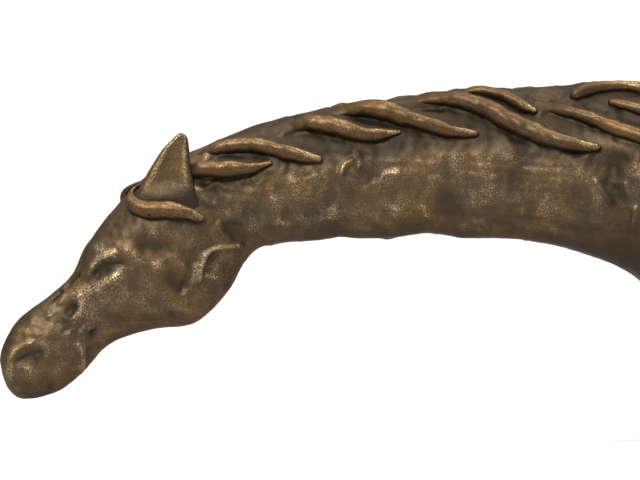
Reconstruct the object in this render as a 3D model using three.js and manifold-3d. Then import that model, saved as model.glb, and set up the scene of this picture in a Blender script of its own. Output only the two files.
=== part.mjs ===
// Horse bust in cast bronze, in millimetres: head, neck, shoulders and breast in one casting.
// The head hangs low at the end of a long level neck, the mane is laid on in rolled locks, and
// the bust is cut flat below the breast, where it stands.
// +X runs from the muzzle to the shoulders, +Z is up, and the horse's left side faces -Y.
// The origin is the middle of the flat underside.

import * as THREE from 'three';
import { mergeVertices } from 'three/addons/utils/BufferGeometryUtils.js';
import Module from 'manifold-3d';

const headLength = 110;           // from the poll to the end of the muzzle
const muzzleAboveGround = 15;     // height of the chin over the surface that the bust stands on
const lockThickness = 6.1;        // across a full lock of the mane
const earLength = 23;             // from its root in the head to its tip

// The side view is drawn on a grid, x to the right and y down. Its squares are shares of the head.
const squaresPerHead = 306;
const square = headLength / squaresPerHead;
const chinY = 398;
const groundY = chinY + muzzleAboveGround / square;
const buriedY = groundY + 110;    // ribs run on to here before the flat cut takes them off
const standFromX = 655;
const standToX = 1072;
const standMiddleX = (standFromX + standToX) / 2;

const near = -1;                  // the horse's left side
const far = 1;

// Ribs of the body from the muzzle to the back, each a section in its own plane:
// crest x, crest y, under x, under y, half width, fullness towards the crest, and how square the
// section is at the crest and underneath, from 1 for an ellipse down to 0.5 for a rounded box.
const ribs = [
  [1, 367, 2, 373, 3, 0, 0.9, 0.9],
  [0, 357, 9, 390, 19, 0, 0.85, 0.9],
  [5, 341, 25, 399, 28, 0, 0.8, 0.85],
  [20, 318, 58, 391.5, 32.5, -0.02, 0.75, 0.85],
  [48, 297, 84.5, 371, 31.5, -0.04, 0.7, 0.85],
  [71, 275.5, 110, 344, 34, 0.02, 0.7, 0.8],
  [83.5, 250, 151, 329.5, 44, 0.12, 0.7, 0.75],
  [103.5, 219, 195, 322.5, 50, 0.1, 0.75, 0.7],
  [132, 188, 228, 292, 48, 0.05, 0.8, 0.75],
  [166, 163, 245, 262, 41, 0, 0.9, 0.85],
  [207, 145, 265, 244.5, 36, -0.12, 0.95, 0.9],
  [256, 125, 304, 241, 36, -0.16, 0.9, 0.9],
  [320, 108, 345, 239, 37, -0.18, 0.9, 0.9],
  [390, 97.5, 390, 238.5, 38, -0.18, 0.9, 0.9],
  [460, 89, 452, 239.5, 41, -0.18, 0.9, 0.9],
  [525, 87, 515, 239, 48, -0.18, 0.9, 0.85],
  [585, 82.5, 583, 253.5, 60, -0.2, 0.9, 0.8],
  [640, 84, 638, 279, 77, -0.2, 0.95, 0.75],
  [692, 85, 660, 320, 95, -0.18, 0.95, 0.65],
  [738, 88, 661, 372, 107, -0.15, 0.9, 0.6],
  [785, 91, standFromX, groundY, 114, -0.12, 0.9, 0.55],
  [840, 95, 710, buriedY - 40, 118, -0.08, 0.85, 0.5],
  [920, 102, 800, buriedY, 117, -0.05, 0.8, 0.5],
  [standToX - 66, 122, 890, buriedY, 111, -0.02, 0.7, 0.5],
  [standToX - 20, 180, 960, buriedY, 104, 0, 0.6, 0.5],
  [standToX - 5, 290, 1000, buriedY, 98, 0, 0.5, 0.5],
  [standToX, 410, 1025, buriedY, 92, 0, 0.5, 0.5],
  [standToX, buriedY - 20, 1045, buriedY, 60, 0, 0.5, 0.6],
];

// Modelled relief, on both sides: a path in the side view, its reach and its rise or, below zero,
// its depth. A path of one point is a bump or a hollow. A third number is how far out it lies,
// where the relief keeps to one part of the width.
const relief = [
  { name: 'brow', path: [[88, 270], [96, 258], [108, 253], [124, 254]], reach: 6, rise: 3.5 },
  { name: 'eye hollow', path: [[100, 270], [112, 265], [124, 264]], reach: 6.5, rise: -5 },
  { name: 'temple', path: [[146, 249], [160, 248]], reach: 9, rise: -3.5 },
  { name: 'face ridge', path: [[120, 279], [100, 288], [80, 299]], reach: 7, rise: 2.5 },
  { name: 'nose hollow', path: [[71, 306]], reach: 8, rise: -3.5 },
  { name: 'nostril rim', path: [[13, 356], [20, 344], [36, 338]], reach: 6, rise: 2.5 },
  { name: 'nostril', path: [[23, 358], [40, 353]], reach: 7, rise: -4.5 },
  { name: 'mouth', path: [[93, 334], [76, 346], [54, 362]], reach: 6, rise: -2 },
  { name: 'cheek hollow', path: [[168, 270], [180, 284]], reach: 9, rise: -4.5 },
  { name: 'jowl edge', path: [[240, 249], [212, 253], [202, 270], [191, 290]], reach: 7, rise: 3.5 },
  { name: 'throat groove', path: [[196, 199], [216, 214], [236, 230]], reach: 8, rise: -4 },
  { name: 'dent under the neck', path: [[433, 240]], reach: 26, rise: -6.5 },
  { name: 'shoulder crease', path: [[604, 160], [614, 186], [632, 240]], reach: 13, rise: -4 },
  { name: 'shoulder blade', path: [[700, 170], [722, 240], [728, 330]], reach: 46, rise: 8 },
  { name: 'arm', path: [[728, 380], [762, 440], [780, 490]], reach: 50, rise: 6 },
  { name: 'elbow hollow', path: [[850, 330], [880, 400], [890, 470]], reach: 44, rise: -6 },
  { name: 'breast', path: [[668, 352, 52], [672, 410, 50]], reach: 44, rise: 7 },
  { name: 'breast groove', path: [[662, 340, 0], [660, 400, 0], [655, 470, 0]], reach: 16, rise: -8 },
];

// Rolled locks, each one bend in the side view: it leaves the root towards the lead and comes into
// the tip from the trail. Thick is the share of a full lock at its fullest, and blunt the share of
// that left at the tip.
const maneNearSide = [
  { root: [190, 171], lead: [220, 165], trail: [243, 175], tip: [273, 163], thick: 1.05, blunt: 0.2 },
  { root: [222, 156], lead: [259, 127], trail: [282, 157], tip: [321, 160], thick: 0.75, blunt: 0.85 },
  { root: [268, 131], lead: [276, 126], trail: [281, 123], tip: [290, 120], thick: 0.5, blunt: 0.6 },
  { root: [284, 128], lead: [326, 109], trail: [350, 143], tip: [397, 132], thick: 1, blunt: 0.25 },
  { root: [336, 112], lead: [396, 90], trail: [415, 136], tip: [477, 134], thick: 1.05, blunt: 0.25 },
  { root: [422, 102], lead: [483, 83], trail: [531, 145], tip: [597, 148], thick: 1.15, blunt: 0.35 },
  { root: [470, 93], lead: [500, 88], trail: [511, 104], tip: [537, 112], thick: 0.7, blunt: 0.4 },
  { root: [523, 98], lead: [583, 114], trail: [638, 150], tip: [702, 151], thick: 1, blunt: 0.3 },
  { root: [572, 96], lead: [637, 68], trail: [679, 110], tip: [740, 122], thick: 0.85, blunt: 0.35 },
  { root: [604, 103], lead: [639, 103], trail: [669, 123], tip: [702, 131], thick: 0.7, blunt: 0.4 },
  { root: [668, 93], lead: [711, 84], trail: [744, 112], tip: [786, 114], thick: 0.85, blunt: 0.35 },
  { root: [722, 93], lead: [753, 90], trail: [781, 106], tip: [812, 108], thick: 0.7, blunt: 0.4 },
];
// The far side's locks follow one pattern down the crest, each a little longer than the last. The
// pattern is given in lock lengths, along the crest and down from it.
const maneFarSide = { locks: 9, firstX: 200, pitch: 60, drop: 11, length: 92, growth: 8 };
const farPattern = { root: [0, 0], lead: [0.38, -0.12], trail: [0.6, 0.24], tip: [1, 0.3] };
const farThickness = { thick: 1, blunt: 0.3 };
// The forelock parts over the forehead, and each half is swept back below its ear.
const forelock = {
  root: [152, 178],
  lead: [83, 221],
  trail: [184, 203],
  tip: [204, 218],
  thick: 1.15,
  blunt: 0.5,
};
const rootShare = 0.45;           // a lock's thickness at its root, as a share of its fullest
const rootStand = -0.6;           // how far a lock's line stands out of the skin, in its half
const stand = 0.5;                // thicknesses, at the root and from a quarter of its length on

// Ear: its root in the side view and how far out it stands there and at the tip, then its rings
// from root to tip: share of the length, middle in the side view, half breadth, half thickness.
const ear = {
  rootY: 197,
  rootOut: 26,
  tipOut: 32,
  rings: [
    [0, 172, 26, 12],
    [0.27, 170, 23, 14],
    [0.42, 170, 20.5, 12.5],
    [0.6, 172.5, 17, 10],
    [0.73, 175, 14.5, 8],
    [0.84, 177, 11, 6.5],
    [0.94, 179, 7.5, 4.5],
    [1, 180.5, 3, 2],
  ],
  scoop: 0.5,
};

const headRibs = 10;              // the ribs up to this one carry more rings than the rest
const ringsPerHeadRib = 3;
const ringsPerBodyRib = 2;
const pointsAround = 32;
const lockRingSpacing = 14;       // in squares
const lockSides = 7;
const earRings = 8;
const earSides = 10;

// One value of a smooth curve through evenly numbered values, at the position u.
function through(values, u) {
  const last = values.length - 1;
  const i = Math.min(Math.max(Math.floor(u), 0), last - 1);
  const t = Math.min(Math.max(u - i, 0), 1);
  const at = (k) => values[Math.min(Math.max(k, 0), last)];
  const [a, b, c, d] = [at(i - 1), at(i), at(i + 1), at(i + 2)];
  const bend = 2 * a - 5 * b + 4 * c - d;
  const twist = 3 * b - a - 3 * c + d;
  return 0.5 * (2 * b + t * (c - a + t * (bend + t * twist)));
}

const ribColumns = ribs[0].map((_, column) => ribs.map((rib) => rib[column]));

// The rib at a place between two of the table's ribs.
function ribAt(u) {
  const [crestX, crestY, underX, underY, halfWidth, fullness, crestSquare, underSquare] =
    ribColumns.map((column) => through(column, u));
  return { crestX, crestY, underX, underY, halfWidth, fullness, crestSquare, underSquare };
}

// A point of the side view, with its distance out from the middle plane, as a place in space.
function place(x, y, out) {
  return new THREE.Vector3((x - standMiddleX) * square, out * square, (groundY - y) * square);
}

// A point on the plain body: u runs along the ribs, and the angle runs round a rib from its crest.
function bodyPoint(u, angle) {
  const rib = ribAt(u);
  const up = Math.cos(angle);
  const side = Math.sin(angle);
  const share = (1 + up) / 2;
  const squareness = THREE.MathUtils.lerp(rib.underSquare, rib.crestSquare, share);
  const out = rib.halfWidth * Math.sign(side) * Math.abs(side) ** squareness * (1 + rib.fullness * up);
  return place(
    THREE.MathUtils.lerp(rib.underX, rib.crestX, share),
    THREE.MathUtils.lerp(rib.underY, rib.crestY, share),
    out,
  );
}

// The crest line's y in the side view, above an x.
function crestHeight(x) {
  let low = 1;
  let high = ribs.length - 1;
  for (let i = 0; i < 30; i += 1) {
    const middle = (low + high) / 2;
    if (ribAt(middle).crestX < x) low = middle;
    else high = middle;
  }
  return ribAt(low).crestY;
}

function bodyNormal(u, angle) {
  const step = 0.01;
  const last = ribs.length - 1;
  const along = bodyPoint(Math.min(u + step, last), angle).sub(bodyPoint(Math.max(u - step, 0), angle));
  const around = bodyPoint(u, angle + step).sub(bodyPoint(u, angle - step));
  return along.cross(around).normalize();
}

// Height of the relief over the plain body at a point, in millimetres: each stroke fades with the
// distance from the nearest piece of its path.
function reliefAt(point) {
  const seen = new THREE.Vector3(point.x / square + standMiddleX, groundY - point.z / square, 0);
  const out = Math.abs(point.y) / square;
  const nearest = new THREE.Vector3();
  let height = 0;
  for (const { path, reach, rise } of relief) {
    const corners = path.map(([x, y, z = 0]) => new THREE.Vector3(x, y, z));
    const from = seen.clone().setZ(path[0].length > 2 ? out : 0);
    let distance = from.distanceTo(corners[0]);
    for (let i = 1; i < corners.length; i += 1) {
      new THREE.Line3(corners[i - 1], corners[i]).closestPointToPoint(from, true, nearest);
      distance = Math.min(distance, from.distanceTo(nearest));
    }
    height += rise * square * Math.exp(-((distance / reach) ** 2));
  }
  return height;
}

// The place on the body's skin behind a point of the side view, and the way out of it there.
function skin(x, y, side) {
  let low = 0;
  let high = ribs.length - 1;
  for (let i = 0; i < 30; i += 1) {
    const middle = (low + high) / 2;
    const rib = ribAt(middle);
    const [ribX, ribY] = [rib.underX - rib.crestX, rib.underY - rib.crestY];
    if (ribX * (y - rib.crestY) < ribY * (x - rib.crestX)) low = middle;
    else high = middle;
  }
  const rib = ribAt(low);
  const length = Math.hypot(rib.crestX - rib.underX, rib.crestY - rib.underY);
  const share = Math.hypot(x - rib.underX, y - rib.underY) / length;
  const angle = side * Math.acos(THREE.MathUtils.clamp(2 * share - 1, -0.98, 0.98));
  const point = bodyPoint(low, angle);
  const normal = bodyNormal(low, angle);
  return { point: point.addScaledVector(normal, reliefAt(point)), normal };
}

// A closed skin over rings of points, with a pole at each end.
function closedSkin(rings, firstPole, lastPole) {
  const count = rings[0].length;
  const points = [firstPole, ...rings.flat(), lastPole];
  const faces = [];
  const at = (ring, k) => 1 + ring * count + (k % count);
  for (let k = 0; k < count; k += 1) {
    faces.push(0, at(0, k + 1), at(0, k));
    faces.push(points.length - 1, at(rings.length - 1, k), at(rings.length - 1, k + 1));
    for (let ring = 1; ring < rings.length; ring += 1) {
      const [a, b, c, d] = [at(ring - 1, k), at(ring - 1, k + 1), at(ring, k + 1), at(ring, k)];
      faces.push(a, b, c, a, c, d);
    }
  }
  const geometry = new THREE.BufferGeometry().setFromPoints(points);
  geometry.setIndex(faces);
  return geometry;
}

function middleOf(ring) {
  return ring.reduce((sum, point) => sum.add(point), new THREE.Vector3()).divideScalar(ring.length);
}

function body() {
  const headRings = headRibs * ringsPerHeadRib;
  const bodyRings = (ribs.length - 1 - headRibs) * ringsPerBodyRib;
  const last = headRings + bodyRings;
  const rings = [];
  for (let i = 0; i <= last; i += 1) {
    const onHead = Math.min(i, headRings) / ringsPerHeadRib;
    const u = onHead + Math.max(i - headRings, 0) / ringsPerBodyRib;
    const ring = [];
    for (let k = 0; k < pointsAround; k += 1) {
      const angle = (2 * Math.PI * k) / pointsAround;
      const point = bodyPoint(u, angle);
      if (i > 0 && i < last) point.addScaledVector(bodyNormal(u, angle), reliefAt(point));
      ring.push(point);
    }
    rings.push(ring);
  }
  return closedSkin(rings, middleOf(rings[0]), middleOf(rings[last]));
}

// A rolled lock along a line of centres, with the way out of the skin at each of them.
function roll(centres, outs, radii) {
  const rings = centres.map((centre, i) => {
    const before = centres[Math.max(i - 1, 0)];
    const after = centres[Math.min(i + 1, centres.length - 1)];
    const along = after.clone().sub(before).normalize();
    const across = new THREE.Vector3().crossVectors(along, outs[i]).normalize();
    const out = new THREE.Vector3().crossVectors(across, along).normalize();
    return Array.from({ length: lockSides }, (_, k) => {
      const angle = (2 * Math.PI * k) / lockSides;
      return centre.clone()
        .addScaledVector(across, radii[i] * Math.cos(angle))
        .addScaledVector(out, radii[i] * Math.sin(angle));
    });
  });
  const tipReach = 0.6;
  const last = centres.length - 1;
  const end = (i, inner) => centres[i].clone()
    .addScaledVector(centres[i].clone().sub(centres[inner]).normalize(), radii[i] * tipReach);
  return closedSkin(rings, end(0, 1), end(last, last - 1));
}

function lock({ root, lead, trail, tip, thick, blunt }, side) {
  const handles = [root, lead, trail, tip].map(([x, y]) => new THREE.Vector2(x, y));
  const bend = new THREE.CubicBezierCurve(...handles);
  const steps = Math.max(3, Math.round(bend.getLength() / lockRingSpacing));
  const centres = [];
  const outs = [];
  const radii = [];
  for (let i = 0; i <= steps; i += 1) {
    const share = i / steps;
    const { x, y } = bend.getPointAt(share);
    const { point, normal } = skin(x, y, side);
    const swell = THREE.MathUtils.lerp(rootShare, 1, THREE.MathUtils.smoothstep(share, 0, 0.3));
    const taper = THREE.MathUtils.lerp(1, blunt, THREE.MathUtils.smoothstep(share, 0.55, 1));
    const radius = (thick * swell * taper * lockThickness) / 2;
    const raised = THREE.MathUtils.lerp(rootStand, stand, Math.min(4 * share, 1));
    centres.push(place(x, y, (point.y + side * radius * raised) / square));
    outs.push(normal);
    radii.push(radius);
  }
  return roll(centres, outs, radii);
}

function farLock(i) {
  const { firstX, pitch, drop, length, growth } = maneFarSide;
  const scale = length + growth * i;
  const laid = Object.entries(farPattern).map(([name, [along, down]]) => {
    const x = firstX + pitch * i + scale * along;
    return [name, [x, crestHeight(x) + drop + scale * down]];
  });
  return lock({ ...Object.fromEntries(laid), ...farThickness }, far);
}

// An ear is a leaf with a scooped outer face.
function earLeaf(side) {
  const columns = [0, 1, 2, 3].map((column) => ear.rings.map((ring) => ring[column]));
  const last = ear.rings.length - 1;
  const rings = [];
  for (let i = 0; i <= earRings; i += 1) {
    const u = (last * i) / earRings;
    const [share, middleX, breadth, thickness] = columns.map((column) => through(column, u));
    const out = THREE.MathUtils.lerp(ear.rootOut, ear.tipOut, share);
    const y = ear.rootY - (share * earLength) / square;
    const ring = Array.from({ length: earSides }, (_, k) => {
      const angle = (2 * Math.PI * k) / earSides;
      const outward = Math.sin(angle);
      const hollow = outward > 0 ? ear.scoop * thickness * outward ** 4 : 0;
      return place(middleX + breadth * Math.cos(angle), y, side * (out + thickness * outward - hollow));
    });
    rings.push(side === far ? ring.reverse() : ring);
  }
  return closedSkin(rings, middleOf(rings[0]), middleOf(rings[earRings]));
}

const wasm = await Module();
wasm.setup();

function toSolid(geometry) {
  for (const name of ['normal', 'uv']) geometry.deleteAttribute(name);
  const merged = mergeVertices(geometry);
  const triVerts = new Uint32Array(merged.index.array);
  const vertProperties = new Float32Array(merged.attributes.position.array);
  const solid = new wasm.Manifold(new wasm.Mesh({ numProp: 3, vertProperties, triVerts }));
  if (solid.volume() > 0) return solid;
  return new wasm.Manifold(new wasm.Mesh({ numProp: 3, vertProperties, triVerts: triVerts.reverse() }));
}

function toGeometry(solid) {
  const { vertProperties, triVerts } = solid.getMesh();
  const geometry = new THREE.BufferGeometry();
  geometry.setAttribute('position', new THREE.BufferAttribute(vertProperties, 3));
  geometry.setIndex(new THREE.BufferAttribute(triVerts, 1));
  geometry.computeVertexNormals();
  return geometry;
}

// Everything under the ground line, which the flat cut takes away.
function belowGround() {
  const size = 6 * headLength;
  return new THREE.BoxGeometry(size, size, size).translate(0, 0, -size / 2);
}

function casting() {
  const pieces = [
    ...maneNearSide.map((shape) => lock(shape, near)),
    ...Array.from({ length: maneFarSide.locks }, (_, i) => farLock(i)),
    ...[near, far].map((side) => lock(forelock, side)),
    ...[near, far].map(earLeaf),
  ];
  const whole = pieces.reduce((sum, piece) => sum.add(toSolid(piece)), toSolid(body()));
  return toGeometry(whole.subtract(toSolid(belowGround())));
}

const bronze = new THREE.MeshStandardMaterial({ color: 0x6b5638, roughness: 0.42, metalness: 0.85 });

const bust = new THREE.Mesh(casting(), bronze);
bust.name = 'horse_bust';

const group = new THREE.Group();
group.add(bust);
export default group;
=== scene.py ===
from math import atan2, hypot, pi

import bmesh
import bpy
import numpy as np
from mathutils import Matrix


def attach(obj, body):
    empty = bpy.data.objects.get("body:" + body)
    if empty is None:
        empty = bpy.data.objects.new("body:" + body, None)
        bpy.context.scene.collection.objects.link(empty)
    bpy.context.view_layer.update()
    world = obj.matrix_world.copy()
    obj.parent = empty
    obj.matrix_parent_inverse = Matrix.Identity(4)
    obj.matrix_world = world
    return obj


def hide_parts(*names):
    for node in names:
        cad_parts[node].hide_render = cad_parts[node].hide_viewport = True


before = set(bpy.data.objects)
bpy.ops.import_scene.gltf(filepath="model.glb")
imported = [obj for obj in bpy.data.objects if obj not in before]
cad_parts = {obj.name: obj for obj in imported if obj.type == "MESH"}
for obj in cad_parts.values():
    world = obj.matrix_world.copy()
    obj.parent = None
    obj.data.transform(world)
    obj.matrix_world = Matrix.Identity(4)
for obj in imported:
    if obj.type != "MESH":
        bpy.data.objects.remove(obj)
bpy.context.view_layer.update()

# ---------------------------------------------------------------------------------------------
# The casting: head, neck, shoulders and breast of the horse, one hollow bronze cast from a wax
# that was built up and dented by hand. The skin follows ribs from the muzzle to the back, and
# the flat foot is sawn. Lengths in the drawing are squares of its grid, x right and y down.
# ---------------------------------------------------------------------------------------------
square = 0.110 / 306              # metres: the head is 110 mm long and 306 squares
ground_y = 398 + 0.015 / square
stand_x = (655 + 1072) / 2
buried_y = ground_y + 110         # ribs run on to here, under the flat foot
near, far = -1, 1                 # the horse's left side and its right

# crest x, crest y, under x, under y, half width, fullness towards the crest, and how square the
# section is at the crest and underneath, from 1 for an ellipse down to 0.5 for a rounded box
ribs = np.array([
    [1, 367, 2, 373, 3, 0, .9, .9], [0, 357, 9, 390, 19, 0, .85, .9],
    [5, 341, 25, 399, 28, 0, .8, .85], [20, 318, 58, 391.5, 32.5, -.02, .75, .85],
    [48, 297, 84.5, 371, 31.5, -.04, .7, .85], [71, 275.5, 110, 344, 34, .02, .7, .8],
    [83.5, 250, 151, 329.5, 44, .12, .7, .75], [103.5, 219, 195, 322.5, 50, .1, .75, .7],
    [132, 188, 228, 292, 48, .05, .8, .75], [166, 163, 245, 262, 41, 0, .9, .85],
    [207, 145, 265, 244.5, 36, -.12, .95, .9], [256, 125, 304, 241, 36, -.16, .9, .9],
    [320, 108, 345, 239, 37, -.18, .9, .9], [390, 97.5, 390, 238.5, 38, -.18, .9, .9],
    [460, 89, 452, 239.5, 41, -.18, .9, .9], [525, 87, 515, 239, 48, -.18, .9, .85],
    [585, 82.5, 583, 253.5, 60, -.2, .9, .8], [640, 84, 638, 279, 77, -.2, .95, .75],
    [692, 85, 660, 320, 95, -.18, .95, .65], [738, 88, 661, 372, 107, -.15, .9, .6],
    [785, 91, 655, ground_y, 114, -.12, .9, .55],
    [840, 95, 710, buried_y - 40, 118, -.08, .85, .5],
    [920, 102, 800, buried_y, 117, -.05, .8, .5], [1006, 122, 890, buried_y, 111, -.02, .7, .5],
    [1052, 180, 960, buried_y, 104, 0, .6, .5], [1067, 290, 1000, buried_y, 98, 0, .5, .5],
    [1072, 410, 1025, buried_y, 92, 0, .5, .5],
    [1072, buried_y - 20, 1045, buried_y, 60, 0, .5, .6],
])


def through(table, u):
    """Rows of a table as one smooth curve: between two rows, the cubic that leaves each row
    along the line from the row before it to the row after it."""
    last = len(table) - 1
    i = np.clip(np.floor(u).astype(int), 0, last - 1)
    t = np.clip(u - i, 0, 1)[..., None]
    a, b, c, d = (table[np.clip(i + k, 0, last)] for k in (-1, 0, 1, 2))
    bend = 2 * a - 5 * b + 4 * c - d + t * (3 * b - a - 3 * c + d)
    return 0.5 * (2 * b + t * (c - a + t * bend))


def place(x, y, out):
    """Metres in the part's frame, from the drawing's x and y and the distance out of the middle."""
    return np.stack([(x - stand_x) * square, out * square, (ground_y - y) * square], -1)


def plain_skin(u, angle):
    """The body before its relief. On rib u, the cosine of the angle goes from the crest (1) to
    the underside (-1) in a straight line of the drawing, and the distance out is the half width
    times the sine to the power of the squareness, fuller or leaner towards the crest."""
    rib = through(ribs, u)
    up, side = np.cos(angle), np.sin(angle)
    share = (1 + up) / 2
    squareness = rib[..., 7] + (rib[..., 6] - rib[..., 7]) * share
    out = rib[..., 4] * np.sign(side) * np.abs(side) ** squareness * (1 + rib[..., 5] * up)
    return place(rib[..., 2] + (rib[..., 0] - rib[..., 2]) * share,
                 rib[..., 3] + (rib[..., 1] - rib[..., 3]) * share, out)


def unit(v):
    """The same directions, each of length 1."""
    return v / np.maximum(np.linalg.norm(v, axis=-1, keepdims=True), 1e-12)


def skin_normal(u, angle):
    """Way out of the plain skin: the cross product of its two directions."""
    step, last = 0.01, len(ribs) - 1
    along = plain_skin(np.minimum(u + step, last), angle) - plain_skin(np.maximum(u - step, 0), angle)
    around = plain_skin(u, angle + step) - plain_skin(u, angle - step)
    return unit(np.cross(along, around))


def seen(points):
    """The drawing's x, y and distance out, from places in metres."""
    return points[..., 0] / square + stand_x, ground_y - points[..., 2] / square, points[..., 1] / square


def from_path(x, y, path):
    """Distance of each point of the side view from the nearest piece of a path, and the share of
    the path's length at which that piece lies."""
    path = np.array(path, float)
    best, share = np.hypot(x - path[0, 0], y - path[0, 1]), np.zeros_like(x)
    lengths = np.hypot(*np.diff(path, axis=0).T)
    walked = np.concatenate([[0], np.cumsum(lengths)])
    for k, length in enumerate(lengths):
        (x0, y0), (x1, y1) = path[k, :2], path[k + 1, :2]
        t = np.clip(((x - x0) * (x1 - x0) + (y - y0) * (y1 - y0)) / length ** 2, 0, 1)
        d = np.hypot(x - x0 - t * (x1 - x0), y - y0 - t * (y1 - y0))
        closer = d < best
        best = np.where(closer, d, best)
        share = np.where(closer, (walked[k] + t * length) / walked[-1], share)
    return best, share


def walk_along(line):
    """Length of a line of the drawing up to each of its points."""
    return np.concatenate([[0], np.cumsum(np.hypot(*np.diff(line[:, :2], axis=0).T))])


def smooth(value, low, high):
    """From 0 at low to 1 at high, level at both: three times t squared less twice t cubed."""
    t = np.clip((value - low) / (high - low), 0, 1)
    return t * t * (3 - 2 * t)


# Modelled anatomy, on both sides: path in the side view, reach, and rise or (below zero) depth.
anatomy = [
    ([[92.4, 274], [94.6, 266], [99.2, 260.2], [106, 257], [113.5, 254.6]], 2.8, 4.4),
    ([[129, 252], [138, 254.5], [143, 261]], 5.5, 2.4),
    ([[98, 272.5], [103, 267.5], [110, 264.6], [122, 263]], 3.4, -2), ([[102, 273], [110, 269.5]], 5, -1),
    ([[119, 276], [109, 281.5], [98.6, 286.5], [88, 291], [81, 294]], 5.4, 3.2),
    ([[80, 298], [81.5, 305], [79, 313], [72.5, 320]], 3.6, 2.6), ([[72.5, 307], [70, 311]], 4.6, -2.6),
    ([[64, 297], [60, 303]], 3, 1), ([[54, 313], [49, 316]], 3, 1.2), ([[62, 323], [74, 327]], 5, -.6),
    ([[145, 246.5], [165, 250]], 8, -3.8), ([[150, 243], [166, 245]], 3, -1),
    ([[156, 267], [165, 260]], 3, 1.2), ([[191, 247]], 4, 1.8), ([[176, 262], [188, 268]], 8, 1.4),
    ([[170, 278], [183, 287]], 7.5, -4.6), ([[183, 290], [188, 280]], 3, -1.4),
    ([[184, 296], [190, 290], [195, 277], [200, 262], [205, 252]], 3, 2),
    ([[199.5, 281], [202, 268], [206, 256], [212, 250.5], [222, 247.5], [240, 246]], 1.9, 4.4),
    ([[210, 270], [211, 262], [217, 255]], 4, -2), ([[207, 275.5], [218, 278.5]], 2.2, 3.2),
    ([[190, 262], [188, 274]], 4, -1.2), ([[216, 287], [226, 270]], 9, -1.2),
    ([[13, 357], [16, 350.5], [23, 346], [32, 342.8]], 2.8, 3),
    ([[20, 360], [27, 355], [40, 351.4]], 3, -1.5), ([[25, 359], [37, 356]], 8, -1.8),
    ([[11.5, 353], [11, 364], [12, 376], [17, 388]], 3.4, 1), ([[15.5, 376], [17.5, 384]], 2, -1.6),
    ([[18, 378]], 2, 1), ([[93, 333.5]], 3, -2.4), ([[97, 331], [88, 340]], 4, -1.2),
    ([[81, 332], [85, 328]], 2, 1.4), ([[90, 329.5], [94, 328]], 2, 1.4),
    ([[67, 335], [72, 331]], 2.4, 1.2), ([[79, 345], [83, 351], [84, 360], [80, 371]], 2, 2.4),
    ([[88, 350], [88, 362]], 3, -1), ([[76, 347], [62, 357], [46, 366]], 7, -1), ([[51, 386]], 3.6, -1.8),
    ([[30, 370]], 6, .8), ([[78.5, 274], [74, 279], [68, 285.5]], 1.7, -5),
    ([[61, 292], [57, 296], [52, 301]], 1.7, -4.4),
    ([[90, 268], [82, 281], [66, 295], [50, 306], [34, 318], [20, 334], [12, 349]], 6, .5),
    ([[97, 237], [107, 218], [117, 204], [127, 195]], 8, -1.8), ([[137, 296], [155, 294]], 2, .8),
    ([[117, 310]], 4, 1.2), ([[128, 300], [160, 306], [182, 300]], 14, 1.4),
    ([[196, 199], [205, 206], [216, 214], [232, 229], [246, 240]], 6, -2), ([[235, 229]], 10, -3),
    ([[430, 241]], 26, -6.2), ([[272, 242]], 12, 1.8), ([[292, 117], [318, 110.5], [345, 104.5]], 7, -1.7),
    ([[386, 97.5], [412, 94], [445, 91]], 7, -2.2), ([[515, 86], [540, 85], [570, 84]], 7, -1.7),
    ([[340, 239]], 12, -2), ([[604, 160], [614, 186], [632, 240]], 13, -2), ([[138.5, 188.5]], 3, -2.4),
    ([[700, 170], [722, 240], [728, 330]], 46, 8), ([[728, 380], [762, 440], [780, 490]], 50, 6),
    ([[850, 330], [880, 400], [890, 470]], 44, -6),
    ([[752, 150], [742, 210], [722, 270], [700, 325]], 9, 2.2),
    ([[800, 190], [790, 260], [770, 330]], 16, -3.6), ([[760, 360], [790, 350]], 14, 2.6),
    ([[690, 360], [700, 420], [704, 470]], 9, -2.6), ([[740, 380], [748, 430], [750, 480]], 8, 2),
    ([[658, 215], [690, 262], [704, 310]], 9, 2), ([[850, 150], [900, 165], [960, 170]], 14, 2),
    ([[960, 200], [940, 280], [950, 360]], 18, -2.6), ([[1020, 160], [1030, 240]], 16, 2.4),
]
# The same with a place out from the middle: the two halves of the breast and the groove between.
breast = [([[668, 352], [672, 410]], 44, 7, 51), ([[662, 340], [660, 400], [655, 470]], 16, -8, 0)]

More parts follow.
